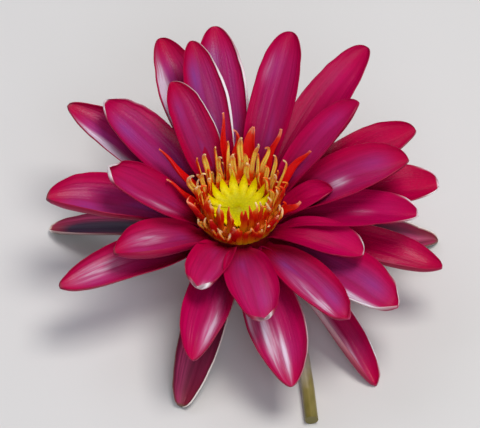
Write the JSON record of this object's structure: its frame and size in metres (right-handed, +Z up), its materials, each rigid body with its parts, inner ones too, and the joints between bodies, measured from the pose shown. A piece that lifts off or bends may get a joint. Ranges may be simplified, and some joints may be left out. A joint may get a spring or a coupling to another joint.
{
  "type": "water lily",
  "caption": "Open crimson water-lily bloom with layered pointed petals, golden stamens and a short cut stem, lying on a surface.",
  "frame": {"origin": "on the surface that the bloom rests on, under the middle of its outline box", "axes": "+Z up, along the bloom's own axis; the picture looks along +Y and down, so -Y is the near side and +X is to the right"},
  "size_m": [0.1472, 0.147, 0.0714],
  "materials": {
    "petals": "satin petal skin, crimson with a violet sheen, pale thin rims",
    "sepals": "dull mauve inside, olive green outside",
    "petaloid_stamens": "satin scarlet, paler at the tip",
    "stamens": "orange with cream-yellow anthers and a scarlet foot",
    "stigma_disc": "moist satin yellow, olive in the middle",
    "stem": "dull pinkish grey to olive brown"
  },
  "bodies": {
    "root": {"petals": "petals", "sepals": "sepals", "petaloid_stamens": "petaloid_stamens", "stamens": "stamens", "stigma_disc": "stigma_disc", "stem": "stem"}
  },
  "joints": []
}
